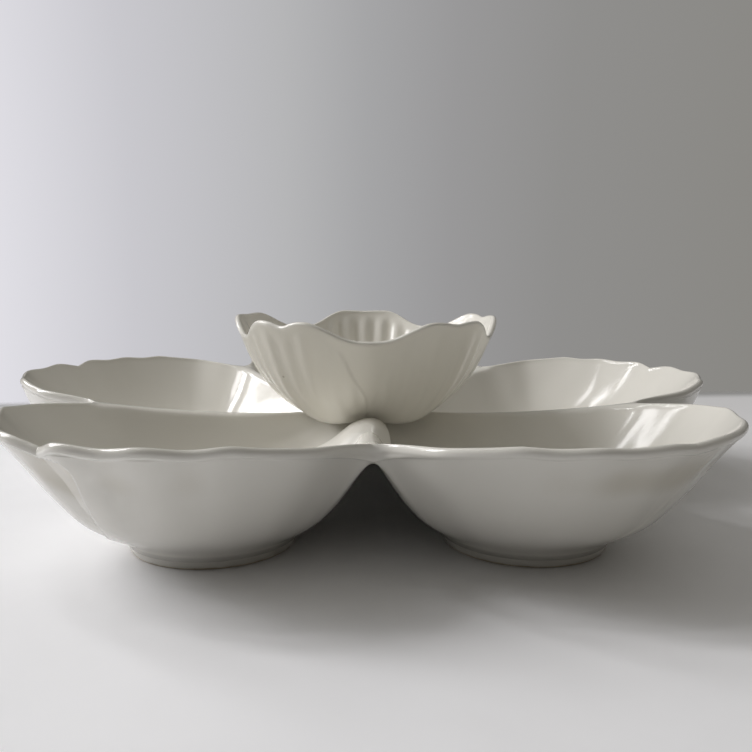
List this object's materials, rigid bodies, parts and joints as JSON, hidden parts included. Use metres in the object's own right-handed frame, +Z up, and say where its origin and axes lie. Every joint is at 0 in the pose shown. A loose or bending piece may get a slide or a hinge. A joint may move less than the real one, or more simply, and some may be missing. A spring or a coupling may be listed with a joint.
{
  "type": "divided serving bowl",
  "caption": "Divided serving bowl: a ring of petal-shaped wells on foot rings round a raised seat, with a loose petal-edged dip bowl nested on the centre.",
  "frame": {"origin": "under the middle of the dish's plan outline, on the table plane", "axes": "+Z up, +X to the right and -Y towards the viewer of the picture; the cleft between the two front wells faces -Y"},
  "size_m": [0.3052, 0.2968, 0.0728],
  "materials": {
    "ivory_glaze": "gloss ivory glaze, slightly pooled in the creases",
    "unglazed_foot": "matte, wiped bare of glaze on the standing face"
  },
  "bodies": {
    "dish": {"well_front_left": "ivory_glaze", "well_front_right": "ivory_glaze", "well_right": "ivory_glaze", "well_back": "ivory_glaze", "well_left": "ivory_glaze", "foot_ring_front_left": "unglazed_foot", "foot_ring_front_right": "unglazed_foot", "foot_ring_right": "unglazed_foot", "foot_ring_back": "unglazed_foot", "foot_ring_left": "unglazed_foot", "center_seat": "ivory_glaze", "stem": "ivory_glaze"},
    "nested_bowl": {"dip_bowl": "ivory_glaze", "dip_bowl_foot": "unglazed_foot"}
  },
  "joints": [
    {"name": "dip_bowl_lift", "type": "slide", "parent": "dish", "child": "nested_bowl", "axis": [0, 0, 1], "range_m": [0, 0.08]}
  ]
}
